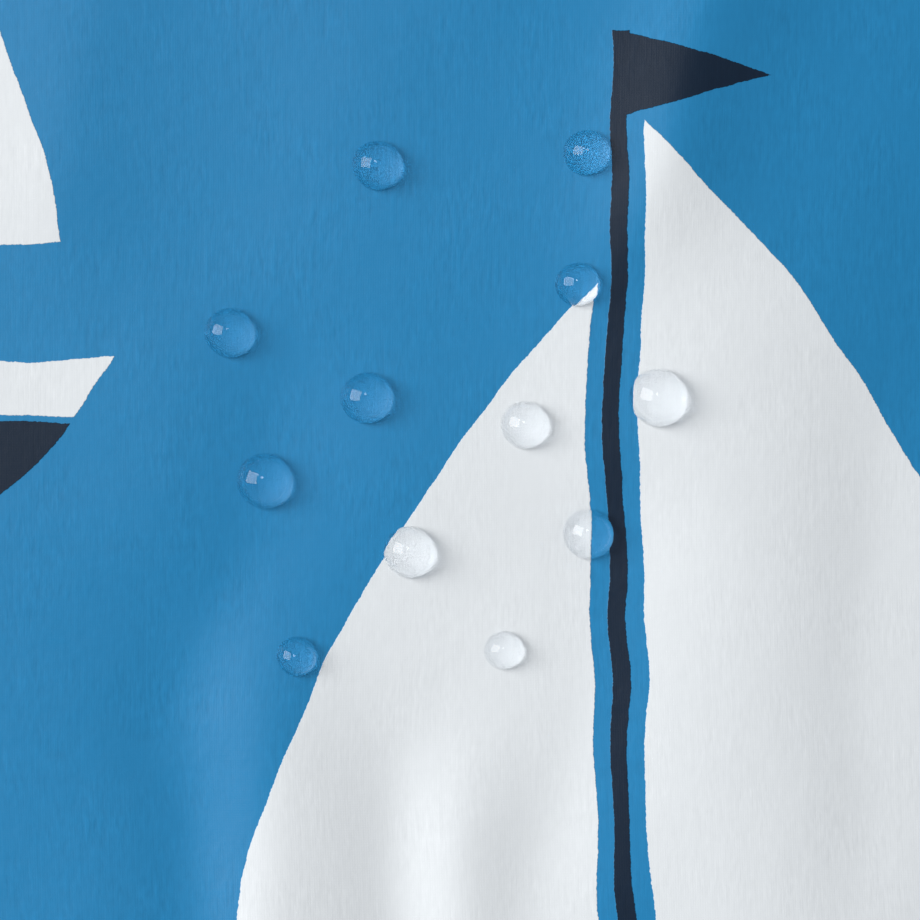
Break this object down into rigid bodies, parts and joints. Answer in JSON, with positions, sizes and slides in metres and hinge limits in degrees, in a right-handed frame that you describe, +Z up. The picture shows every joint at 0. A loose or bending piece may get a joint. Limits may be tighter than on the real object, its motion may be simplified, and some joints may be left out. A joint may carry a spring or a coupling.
{
  "type": "kids raincoat",
  "caption": "Child's hooded raincoat of printed coated cloth, laid flat on its back with the sleeves out, fastened by press studs down a front band.",
  "frame": {"origin": "middle of the coat's outline, seen from above, on the surface that it lies on", "axes": "+X towards the wearer's left side, +Y from the hem towards the hood, +Z up out of the coat's front"},
  "size_m": [0.8426, 0.8573, 0.0203],
  "materials": {
    "shell_cloth": "satin",
    "press_stud": "gloss"
  },
  "bodies": {
    "root": {"back": "shell_cloth", "front_right": "shell_cloth", "front_left": "shell_cloth", "front_band": "shell_cloth", "sleeve_right_top": "shell_cloth", "sleeve_right_under": "shell_cloth", "sleeve_left_top": "shell_cloth", "sleeve_left_under": "shell_cloth", "hood_right": "shell_cloth", "hood_left": "shell_cloth", "press_stud_1": "press_stud", "press_stud_2": "press_stud", "press_stud_3": "press_stud", "press_stud_4": "press_stud", "press_stud_5": "press_stud", "press_stud_6": "press_stud"}
  },
  "joints": []
}
